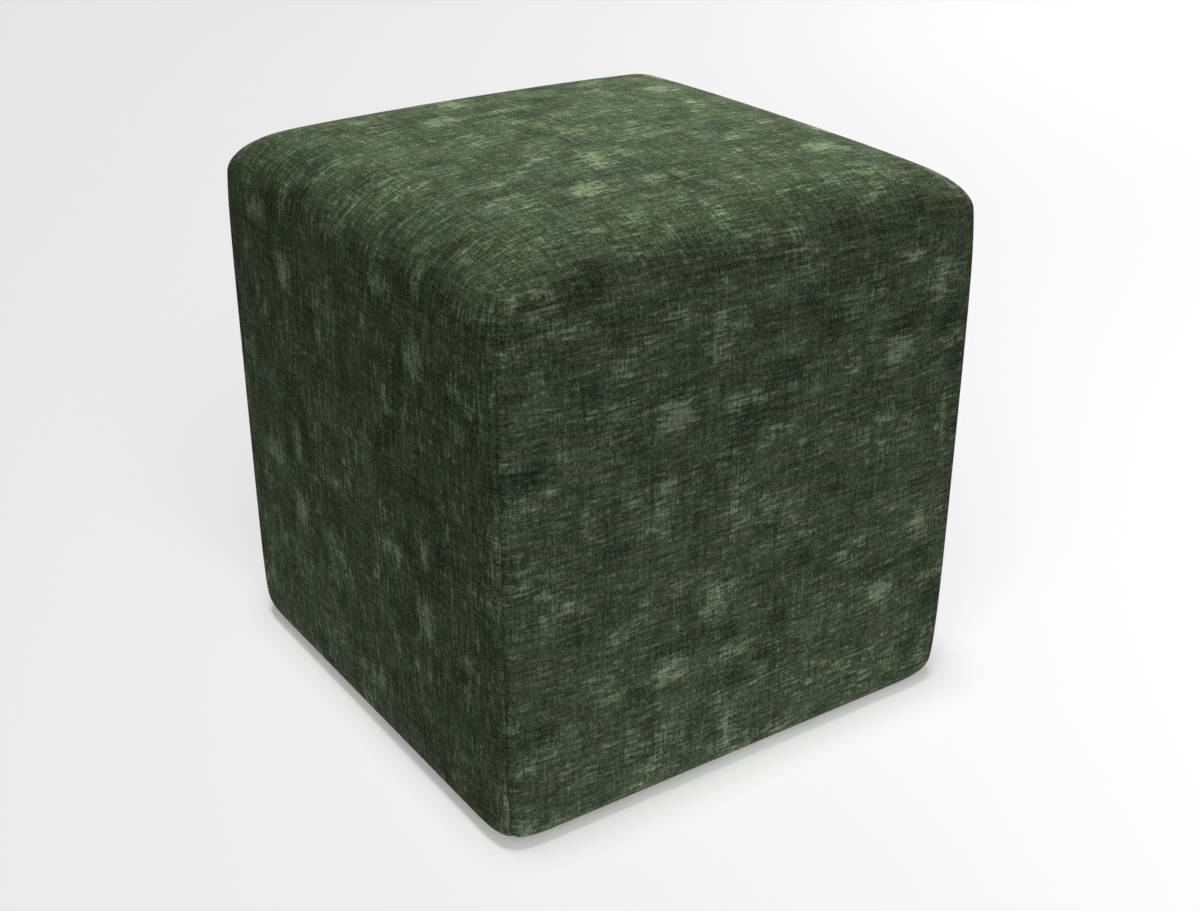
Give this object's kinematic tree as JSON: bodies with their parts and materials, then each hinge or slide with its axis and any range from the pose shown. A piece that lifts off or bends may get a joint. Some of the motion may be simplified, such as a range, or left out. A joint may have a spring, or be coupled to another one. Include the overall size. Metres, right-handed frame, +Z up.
{
  "type": "cube pouf stool",
  "caption": "Soft cube pouf stool with rounded top edges, a crowned seat and sewn upright corners, in a dark green woven cover.",
  "frame": {"origin": "middle of the flat base, on the surface that the pouf stands on", "axes": "+Z up; the four walls face -Y, +X, +Y and -X"},
  "size_m": [0.4564, 0.4564, 0.474],
  "materials": {
    "cover_cloth": "matt woven upholstery cloth in mottled dark greens, with pale slub streaks both ways"
  },
  "bodies": {
    "root": {"pouf_cushion": "cover_cloth"}
  },
  "joints": []
}
